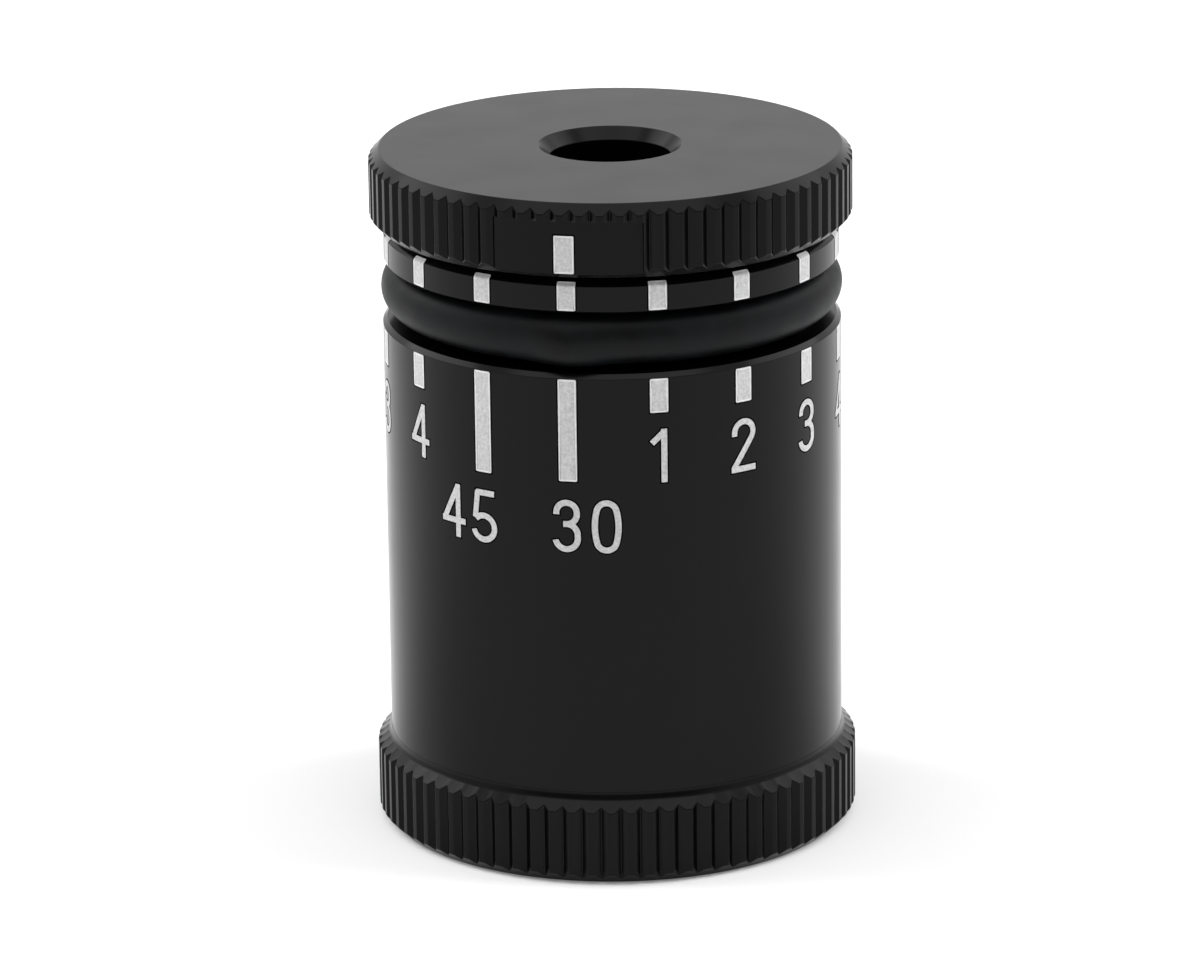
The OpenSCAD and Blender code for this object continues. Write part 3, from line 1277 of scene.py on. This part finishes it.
@dataclass
class RubberRing(NodePiece):
    """Rubber ring that presses the ball inward and bulges over it.

    Attributes:
        barrel: The barrel whose groove it lies in.
        bulge: How far the ball pushes the ring out.
        sag: How far it sags there.
        reach: How far from the ball the bulge reaches.
        segments: Sections round the ring.
        sides: Vertices in a section.
    """

    node = "detent_ring"
    finish = RUBBER

    barrel: Barrel
    bulge: float = 0.3
    sag: float = 0.06
    reach: float = 2.3
    segments: int = 320
    sides: int = 40

    def build(self) -> Bench:
        """Lays a torus in its groove, flattens it on the floor and pushes it out over the ball.

        Returns:
            The ring.
        """
        section = (self.top - self.bottom) / 2
        middle = self.radius - section
        floor = self.barrel.floor_radius + self.barrel.seat_gap
        bench = Bench("rubber_ring")
        bpy.ops.mesh.primitive_torus_add(
            major_radius=middle,
            minor_radius=section,
            major_segments=self.segments,
            minor_segments=self.sides,
            location=(0, 0, (self.bottom + self.top) / 2),
        )
        for side in range(self.sides // 4, self.sides // 2 + 1):
            radius = middle + section * math.cos(math.tau * side / self.sides)
            if radius < floor:
                bench.select(lambda place: abs(place.xy.length - radius) < TINY)
                bench.widen(floor / radius)
        bench.select(lambda place: abs(place.x) < TINY and place.y < 0)
        bpy.ops.transform.translate(
            value=(0, -self.bulge, -self.sag),
            use_proportional_edit=True,
            proportional_edit_falloff="SMOOTH",
            proportional_size=self.reach,
        )
        return bench


@dataclass(frozen=True)
class Line:
    """Straight run of the pen."""

    length: float


@dataclass(frozen=True)
class Arc:
    """Round run of the pen, to the left for a positive turn in degrees."""

    radius: float
    turn: float


@dataclass(frozen=True)
class Stroke:
    """One run of the pen.

    Attributes:
        start: Place where the pen is set down, from the middle of the figure.
        heading: Heading in degrees, from the right and towards up.
        runs: What the pen then does.
        closed: Whether it ends where it began.
    """

    start: Point
    heading: float
    runs: tuple[Line | Arc, ...]
    closed: bool = False

    @property
    def place(self) -> Vector:
        """Place of the start on the upright sheet."""
        return Vector((self.start[0], 0, self.start[1]))

    def turned(self) -> "Stroke":
        """Gives the stroke turned upside down."""
        return Stroke((-self.start[0], -self.start[1]), self.heading + 180, self.runs, self.closed)


def bearing(angle: float) -> Vector:
    """Gives the direction of a heading in radians on the upright sheet."""
    return Vector((math.cos(angle), 0, math.sin(angle)))


def loop(middle: float, half_width: float, half_height: float, tip: float = 0.42) -> Stroke:
    """Gives an upright oval of four arcs.

    Args:
        middle: Height of its middle.
        half_width: Half its width.
        half_height: Half its height.
        tip: Radius of its upper and lower end.

    Returns:
        The stroke, once round.
    """
    tip = min(tip, half_width * 0.9)
    rise = half_height - tip
    side = (half_width**2 + rise**2 - tip**2) / (2 * (half_width - tip))
    lean = math.degrees(math.atan2(rise, side - half_width))
    over = Arc(tip, 180 - 2 * lean)
    runs = (Arc(side, lean), over, Arc(side, 2 * lean), over, Arc(side, lean))
    return Stroke((half_width, middle), 90, runs, closed=True)


@dataclass
class Figures:
    """Plain narrow figures, drawn with a flat pen.

    Attributes:
        height: Height of a figure.
        pen: Width of the pen.
        depth: Thickness of the marking.
        line_step: Longest step of a straight run.
        arc_step: Longest step of a round run.
        least_radius: Radius by which the steps of tighter arcs are counted.
        meet: Distance within which the two ends of a closed stroke meet.
    """

    height: float = 2.35
    pen: float = 0.26
    depth: float = 0.6
    line_step: float = 0.25
    arc_step: float = 0.07
    least_radius: float = 0.4
    meet: float = 0.01
    strokes: dict[str, tuple[Stroke, ...]] = field(init=False)

    def __post_init__(self) -> None:
        """Sets down the strokes of the ten figures, between the pen's edges."""
        half = self.height / 2
        top = half - self.pen / 2
        six = (
            loop(-0.465, 0.48, top - 0.465),
            Stroke((-0.48, -0.465), 90, (Line(1.0), Arc(0.48, -150))),
        )
        self.strokes = {
            "0": (loop(0, 0.5, top),),
            "1": (
                Stroke((0.2, -half), 90, (Line(self.height),)),
                Stroke((0.22, 1.07), 223, (Line(0.75),)),
            ),
            "2": (
                Stroke((-0.47, 0.42), 90, (Line(0.135), Arc(0.47, -215), Line(1.57))),
                Stroke((-0.62, -top), 0, (Line(1.22),)),
            ),
            "3": (
                Stroke(
                    (-0.44, 0.5),
                    90,
                    (Line(0.085), Arc(0.44, -180), Line(0.06), Arc(0.44, -90), Line(0.15)),
                ),
                Stroke((-0.13, 0.085), 0, (Line(0.12), Arc(0.48, -90), Line(0.15), Arc(0.48, -170))),
            ),
            "4": (
                Stroke((0.27, -half), 90, (Line(self.height),)),
                Stroke((-0.66, -0.44), 0, (Line(1.34),)),
                Stroke((0.25, 1.06), 242.5, (Line(1.66),)),
            ),
            "5": (
                Stroke((-0.4, top), 0, (Line(0.9),)),
                Stroke((-0.335, 1.1), -96.5, (Line(1.2),)),
                Stroke((-0.436, -0.154), 50, (Arc(0.53, -305),)),
            ),
            "6": six,
            "7": (
                Stroke((-0.57, top), 0, (Line(1.16),)),
                Stroke((0.46, 1.0), -120, (Arc(2.6, 28), Line(0.95))),
            ),
            "8": (loop(0.555, 0.42, 0.47, 0.38), loop(-0.47, 0.48, 0.555)),
            "9": tuple(stroke.turned() for stroke in six),
        }

    def draw(self, figure: str, margin: float = 0.0) -> Bench:
        """Draws a figure flat, facing front.

        Args:
            figure: The figure.
            margin: How much wider than the pen's edges the line is drawn on each side.

        Returns:
            The figure as one solid.
        """
        first, *others = [self.run(stroke, margin) for stroke in self.strokes[figure]]
        for other in others:
            first.join(other, Join.FUSE)
        return first

    def run(self, stroke: Stroke, margin: float) -> Bench:
        """Draws one stroke by extruding and spinning the pen's nib.

        Args:
            stroke: The stroke.
            margin: How much wider than the pen's edges it is drawn on each side.

        Returns:
            The stroke as a solid.
        """
        bench = Bench("stroke")
        width = self.pen + 2 * margin
        heading = math.radians(stroke.heading)
        extra = 0.0 if stroke.closed else margin
        place = stroke.place - bearing(heading) * extra
        bpy.ops.mesh.primitive_plane_add(size=width, location=place, rotation=(0, math.pi / 2 - heading, 0))
        bpy.ops.transform.resize(value=(1, self.depth / width, 1), center_override=place)
        runs = stroke.runs if stroke.closed else (Line(margin), *stroke.runs, Line(margin))
        for move in runs:
            nose = bearing(heading)
            if isinstance(move, Line):
                place = self.line(place, nose, move.length)
                continue
            left = Vector((-nose.z, 0, nose.x)) * math.copysign(1, move.turn)
            centre = place + left * move.radius
            turn = math.radians(move.turn)
            steps = max(3, math.ceil(abs(turn) * max(move.radius, self.least_radius) / self.arc_step))
            bench.swing(turn, steps, centre, (0, -1, 0))
            place = centre - Matrix.Rotation(-turn, 3, "Y") @ (left * move.radius)
            heading += turn
        if stroke.closed:
            self.close(bench, stroke)
        bench.weld()
        bench.outward()
        return bench

    def line(self, place: Vector, nose: Vector, length: float) -> Vector:
        """Extrudes the nib straight on, in short steps that can follow a round face.

        Args:
            place: Where the nib is.
            nose: Its heading.
            length: Length of the run.

        Returns:
            Where the nib then is.
        """
        if length < TINY:
            return place
        steps = math.ceil(length / self.line_step)
        for _ in range(steps):
            bpy.ops.mesh.extrude_region_move(TRANSFORM_OT_translate={"value": nose * length / steps})
        return place + nose * length

    def close(self, bench: Bench, stroke: Stroke) -> None:
        """Takes out the two nibs that meet where a closed stroke ends.

        Args:
            bench: The stroke as drawn.
            stroke: What was drawn.
        """
        bench.select_faces(lambda face: (face.calc_center_median() - stroke.place).length < self.meet)
        bpy.ops.mesh.delete(type="ONLY_FACE")
        bpy.ops.mesh.select_mode(type="VERT")


@dataclass(frozen=True)
class Layer:
    """One of the two layers that a mark is made of.

    Attributes:
        suffix: What its name adds to the name of the marks.
        margin: How much wider than the mark it is made, on each side.
        proud: How far it stands out of the surface.
    """

    suffix: str
    margin: float
    proud: float


@dataclass
class Scale:
    """Laser marks and numbers on the barrel and the collar, and the index line of the cap.

    Attributes:
        barrel: The barrel that carries the scale.
        cap: The cap that carries the index line.
        figures: The figures of the numbers.
        marks: Number of marks.
        width: Width of a mark.
        short: Length of a short mark.
        long: Length of a long mark.
        long_every: Marks from one long mark to the next.
        unit_middle: Height of the middle of the single figures.
        tens_middle: Height of the middle of the numbers of two figures.
        advance: Distance from one figure to the next in such a number.
        index_width: Width of the index line.
        index_length: Length of the index line.
        corner: Rounding of a mark's corners.
        rim: Width of the bright rim inside a mark's edge.
        chamfer_share: Share of the collar's chamfer that its marks cover.
        margin: Width of the dark, dull edge round a mark.
        proud: How far a mark stands out of the surface.
        clear: Distance that a mark keeps from a rounded edge.
        first: Reading at the first mark.
        first_shift: Shift of the first number to the right, in shares of the advance.
        last_shift: Shift of the last number.
        columns: Columns of faces across a bar.
        thickness: Thickness of a bar before it is laid on.
        standoff: How far a bar stands in front of its face before it is laid on.
        corner_steps: Steps in the rounding of a corner.
        facing: Least share of a field's normal that points away from the axis.
    """

    barrel: Barrel
    cap: Cap
    figures: Figures
    marks: int = MARKS
    width: float = 0.78
    short: float = 1.48
    long: float = 4.46
    long_every: int = 5
    unit_middle: float = 18.95
    tens_middle: float = 15.9
    advance: float = 1.7
    index_width: float = 0.85
    index_length: float = 1.63
    corner: float = 0.05
    rim: float = 0.08
    chamfer_share: float = 0.36
    margin: float = 0.06
    proud: float = 0.012
    clear: float = 0.025
    first: int = 30
    first_shift: float = 0.45
    last_shift: float = -0.5
    columns: int = 8
    thickness: float = 0.5
    standoff: float = 0.3
    corner_steps: int = 3
    facing: float = 0.6

    @property
    def pitch(self) -> float:
        """Angle from one mark to the next."""
        return math.tau / self.marks

    def bar(self, name: str, width: float, low: float, high: float, face: float, rows: int = 2) -> Bench:
        """Makes a flat bar with rounded corners in front of a round face.

        Args:
            name: Name of the piece.
            width: Width of the bar.
            low: Height of its lower end.
            high: Height of its upper end.
            face: Radius of the round face.
            rows: Rows of faces up the bar, at least two.

        Returns:
            The bar, with its back inside the face.
        """
        bench = Bench(name)
        middle = Vector((0, -face - self.standoff, (low + high) / 2))
        bpy.ops.mesh.primitive_grid_add(
            x_subdivisions=self.columns,
            y_subdivisions=rows,
            size=1,
            location=middle,
            rotation=(math.pi / 2, 0, 0),
        )
        bpy.ops.transform.resize(value=(width, 1, high - low), center_override=middle)
        bpy.ops.mesh.extrude_region_move(TRANSFORM_OT_translate={"value": (0, self.thickness, 0)})
        bench.select(
            lambda place: abs(abs(place.x) - width / 2) < TINY
            and abs(abs(place.z - middle.z) - (high - low) / 2) < TINY
        )
        bpy.ops.mesh.bevel(offset=self.corner, segments=self.corner_steps, affect="EDGES")
        bench.outward()
        return bench

    def set_off(self, bench: Bench) -> None:
        """Sets off the duller field of each mark from its bright rim.

        Args:
            bench: The marks, whose fields get the second material.
        """

        def faces_out(face: bmesh.types.BMFace) -> bool:
            """Says whether a face looks away from the axis."""
            return face.normal.xy.dot(face.calc_center_median().xy.normalized()) > self.facing

        bench.select_faces(faces_out)
        bpy.ops.mesh.inset(thickness=self.rim, use_even_offset=True)
        mesh = bmesh.from_edit_mesh(bench.piece.data)
        for face in mesh.faces:
            face.material_index = int(face.select)
        bmesh.update_edit_mesh(bench.piece.data)
        bpy.ops.mesh.select_mode(type="VERT")

    def barrel_marks(self, layer: Layer) -> Bench:
        """Makes a layer of the marks below the groove, every fifth of them long.

        Args:
            layer: The layer.

        Returns:
            All the marks in one piece.
        """
        high = self.barrel.marks_top - self.clear
        low = high - self.short - layer.margin
        width = self.width + 2 * layer.margin
        bench = self.bar("barrel_marks" + layer.suffix, width, low, high, self.barrel.radius)
        bench.lay_on(self.barrel.face, layer.proud)
        bench.copy_round(self.marks, self.pitch)
        for mark in range(0, self.marks, self.long_every):
            middle = round_place(self.barrel.radius, mark * self.pitch)
            end = low + self.corner + self.clear
            bench.select(lambda place: (place.xy - middle.xy).length < self.width and place.z < end)
            bench.move(z=self.short - self.long)
        return bench

    def collar_marks(self, layer: Layer) -> Bench:
        """Makes a layer of the marks on the collar, up over its chamfer.

        Args:
            layer: The layer.

        Returns:
            All the marks in one piece.
        """
        barrel = self.barrel
        low = barrel.groove_high + barrel.collar_break + self.clear
        edge = barrel.top - barrel.collar_chamfer
        high = edge + barrel.collar_chamfer * self.chamfer_share
        width = self.width + 2 * layer.margin
        bench = self.bar("collar_marks" + layer.suffix, width, low, high, barrel.collar_radius, rows=3)
        third = (high - low) / 3
        for row, height in ((low + third, edge - self.clear), (low + 2 * third, edge + self.clear)):
            bench.select(lambda place: abs(place.z - row) < TINY)
            bench.move(z=height - row)
        bench.lay_on(self.barrel.face, layer.proud)
        bench.copy_round(self.marks, self.pitch)
        return bench

    def numbers(self, layer: Layer) -> Bench:
        """Makes a layer of the numbers, each figure drawn once and copied to its places.

        Args:
            layer: The layer.

        Returns:
            All the numbers in one piece.
        """
        whole = Bench("numbers" + layer.suffix)
        flat_middle = self.tens_middle
        masters: dict[str, Bench] = {}
        for figure, angle, middle in self.places():
            if figure not in masters:
                master = self.figures.draw(figure, layer.margin)
                master.select_all()
                master.move(y=-self.barrel.radius, z=flat_middle)
                master.lay_on(self.barrel.face, layer.proud)
                masters[figure] = master
            copy = masters[figure].copy()
            copy.select_all()
            bpy.ops.transform.rotate(value=-angle, orient_axis="Z", center_override=(0, 0, 0))
            copy.move(z=middle - flat_middle)
            whole.add(copy)
        for master in masters.values():
            master.scrap()
        return whole

    def places(self) -> list[tuple[str, float, float]]:
        """Lists the places of the figures.

        Returns:
            Each figure with its angle and the height of its middle.
        """
        found = []
        shifts = {0: self.first_shift, self.marks - 1: self.last_shift}
        step = self.advance / self.barrel.radius
        for mark in range(self.marks):
            number = self.first + mark
            angle = mark * self.pitch
            if mark % self.long_every:
                found.append((str(number % 10), angle, self.unit_middle))
                continue
            for figure, side in zip(str(number), (-0.5, 0.5)):
                turn = angle + (shifts.get(mark, 0.0) + side) * step
                found.append((figure, turn, self.tens_middle))
        return found

    def index_line(self, layer: Layer) -> Bench:
        """Makes a layer of the index line in the window of the cap.

        Args:
            layer: The layer.

        Returns:
            The index line.
        """
        low = self.cap.window_low + self.clear
        high = low + self.index_length + layer.margin
        width = self.index_width + 2 * layer.margin
        bench = self.bar("index_line" + layer.suffix, width, low, high, self.cap.window_radius)
        bench.lay_on(self.cap.face, layer.proud)
        return bench

    def dress(self) -> None:
        """Builds the marks, each over its dark edge, and puts them on the base and the head."""
        bright = Layer("", 0.0, self.proud)
        # The second layer is a wider, near-black, dull edge that lies under each mark
        edging = Layer("_edge", self.margin, self.proud / 2)
        for make, carrier in (
            (self.barrel_marks, self.barrel),
            (self.collar_marks, self.barrel),
            (self.numbers, self.barrel),
            (self.index_line, self.cap),
        ):
            marks = make(bright)
            finishes = [LASER_FIELD]
            if make != self.numbers:
                self.set_off(marks)
                finishes = [LASER_RIM, LASER_FIELD]
            fit(marks.finish(), carrier.body, *finishes)
            fit(make(edging).finish(), carrier.body, DARK_EDGE)
        for carrier in (self.barrel, self.cap):
            carrier.face.scrap()


def dress_nodes() -> None:
    """Gives the inner pieces, whose solids are right as they are, their finishes."""
    finishes = {
        "index_dowel": BRIGHT_STEEL,
        "detent_ball": BRIGHT_STEEL,
        "guide_ring": GUIDE_PLASTIC,
        "throat_bush": BRONZE,
        "foot_screws": DARK_STEEL,
    }
    for node, finish in finishes.items():
        piece = frame["nodes"][node]
        for slot in piece.material_slots:
            slot.material = finish.material()
        log.info("%s keeps its solid", node)


@dataclass(frozen=True)
class Lamp:
    """A soft square lamp that faces the gauge.

    Attributes:
        name: Name of the lamp.
        power: Power in watts.
        size: Side of the square in metres.
        turn: Angle to the right of the index line, in degrees.
        rise: Angle above the table, in degrees.
        distance: Distance from the gauge in metres.
        gloss: Whether it shows in gloss.
        matt: Whether it lights matt surfaces.
    """

    name: str
    power: float
    size: float
    turn: float
    rise: float
    distance: float
    gloss: bool = True
    matt: bool = True


def heading(turn: float, rise: float) -> Vector:
    """Gives a direction from the gauge.

    Args:
        turn: Angle to the right of the index line, in degrees.
        rise: Angle above the table, in degrees.

    Returns:
        The direction, of length 1.
    """
    return round_place(math.cos(math.radians(rise)), math.radians(turn), math.sin(math.radians(rise)))


@dataclass
class Studio:
    """Pale floor, white surroundings, soft lamps and the camera of the photograph.

    Attributes:
        azimuth: Angle of the camera to the right of the index line, in degrees.
        elevation: Angle of the camera above the table, in degrees.
        roll: Tilt of the camera about its axis, in degrees.
        distance: Distance of the camera from what it looks at, in metres.
        lens: Focal length in millimetres.
        sensor: Width of the sensor in millimetres.
        nearest: Distance in metres from which the camera sees.
        target: What the camera looks at, in metres.
        floor_size: Size of the floor in metres.
        floor_tone: Reflectance of the floor.
        floor_lift: Light that the floor adds towards the camera.
        ambient: Strength of the surroundings on matt surfaces.
        front_tone: Strength, in gloss, of the dark side of the studio behind the camera.
        front_rise: Angle of that side's middle above the table, in degrees.
        front_reach: Angles from its middle at which it starts to fade and has faded, in degrees.
        lamps: The lamps.
    """

    azimuth: float = 11.38
    elevation: float = 17.313
    roll: float = -0.714
    distance: float = 0.290131
    lens: float = 199.767
    sensor: float = 36.0
    nearest: float = 0.01
    target: tuple[float, float, float] = (-0.000598, -0.00012, 0.014888)
    floor_size: float = 4.0
    floor_tone: float = 0.9
    floor_lift: float = 0.11
    ambient: float = 0.43
    front_tone: float = 0.3
    front_rise: float = 22.0
    front_reach: tuple[float, float] = (35.0, 60.0)
    lamps: tuple[Lamp, ...] = (
        Lamp("overhead", 1.45, 0.6, 0, 84, 0.55),
        Lamp("left", 0.55, 0.3, -107, 38, 0.6, matt=False),
        Lamp("right", 0.4, 0.3, 129, 38, 0.6, matt=False),
        Lamp("left_fill", 2.1, 0.3, -92, 38, 0.6, gloss=False),
        Lamp("right_fill", 2.1, 0.3, 106, 38, 0.6, gloss=False),
    )

    def seen(self, graph: Graph) -> Socket:
        """Picks the rays that see the stage in the picture, in gloss or through glass.

        Args:
            graph: The node tree to add to.

        Returns:
            A value of 1 for those rays and 0 for others.
        """
        path = graph.add("LightPath")
        gloss = graph.math("MAXIMUM", path.outputs["Is Camera Ray"], path.outputs["Is Glossy Ray"])
        return graph.math("MAXIMUM", gloss, path.outputs["Is Transmission Ray"])

    def surroundings(self) -> None:
        """Makes the white surroundings."""
        world = bpy.data.worlds.new("studio")
        bpy.context.scene.world = world
        world.use_nodes = True
        graph = Graph(world.node_tree)
        way = graph.add("TexCoord").outputs["Generated"]
        front = heading(self.azimuth, self.front_rise)
        facing = graph.add("VectorMath", {0: way, 1: front}, operation="DOT_PRODUCT").outputs["Value"]
        full, faded = (math.cos(math.radians(angle)) for angle in self.front_reach)
        gloss = graph.spread(facing, (faded, full), 1, self.front_tone)
        strength = graph.spread(self.seen(graph), (0, 1), self.ambient, gloss)
        camera = graph.add("LightPath").outputs["Is Camera Ray"]
        strength = graph.math("MAXIMUM", strength, camera)
        shade = graph.add("Background", {"Color": (1, 1, 1, 1), "Strength": strength})
        graph.add("OutputWorld", {"Surface": shade.outputs[0]})

    def floor(self) -> None:
        """Makes the floor, which keeps the gauge's shadow."""
        bench = Bench("floor")
        bpy.ops.mesh.primitive_plane_add(size=self.floor_size)
        bench.leave()
        material = bpy.data.materials.new("floor")
        material.use_nodes = True
        graph = Graph(material.node_tree)
        matt = graph.add("BsdfDiffuse", {"Color": (*grey(self.floor_tone), 1)})
        lift = graph.math("MULTIPLY", self.seen(graph), self.floor_lift)
        glow = graph.add("Emission", {"Color": (1, 1, 1, 1), "Strength": lift})
        both = graph.add("AddShader", {0: matt.outputs[0], 1: glow.outputs[0]})
        graph.add("OutputMaterial", {"Surface": both.outputs[0]})
        bench.piece.data.materials.append(material)

    def hang(self, lamp: Lamp) -> None:
        """Hangs a lamp in its place.

        Args:
            lamp: The lamp.
        """
        light = bpy.data.lights.new(lamp.name, "AREA")
        light.energy = lamp.power
        light.size = lamp.size
        holder = bpy.data.objects.new(lamp.name, light)
        way = heading(lamp.turn, lamp.rise)
        holder.location = Vector(self.target) + way * lamp.distance
        holder.rotation_mode = "QUATERNION"
        holder.rotation_quaternion = (-way).to_track_quat("-Z", "Y")
        holder.visible_glossy = lamp.gloss
        holder.visible_diffuse = lamp.matt
        bpy.context.scene.collection.objects.link(holder)

    def camera(self) -> None:
        """Sets the camera at the photograph's place."""
        data = bpy.data.cameras.new("camera")
        data.lens = self.lens
        data.sensor_width = self.sensor
        data.clip_start = self.nearest
        camera = bpy.data.objects.new("camera", data)
        bpy.context.scene.collection.objects.link(camera)
        back = heading(self.azimuth, self.elevation)
        right = heading(self.azimuth + 90, 0)
        up = back.cross(right)
        roll = math.radians(self.roll)
        side = math.cos(roll) * right + math.sin(roll) * up
        top = math.cos(roll) * up - math.sin(roll) * right
        camera.matrix_world = Matrix.Translation(Vector(self.target) + back * self.distance) @ (
            Matrix((side, top, back)).transposed().to_4x4()
        )
        bpy.context.scene.camera = camera

    def build(self) -> None:
        """Sets up the whole studio."""
        bpy.context.scene.view_settings.view_transform = "Standard"
        self.surroundings()
        self.floor()
        for lamp in self.lamps:
            self.hang(lamp)
        self.camera()


def main() -> None:
    """Builds the gauge piece by piece, then its studio."""
    logging.basicConfig(level=logging.INFO, format="%(message)s")
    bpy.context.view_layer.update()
    bore = next(mount for mount in frame["record"]["mounts"] if mount["kind"] == "bore")
    hole_radius = bore["dims"]["r_mm"]
    cap = Cap(Knurl(teeth=77, start=-2), hole_radius)
    barrel = Barrel()
    foot = Foot(Knurl(teeth=78, start=1))
    for piece in (foot, RubberRing(barrel), Plunger(hole_radius), barrel, cap):
        piece.dress()
    Scale(barrel, cap, Figures()).dress()
    dress_nodes()
    Studio().build()


if __name__ == "__main__":
    main()
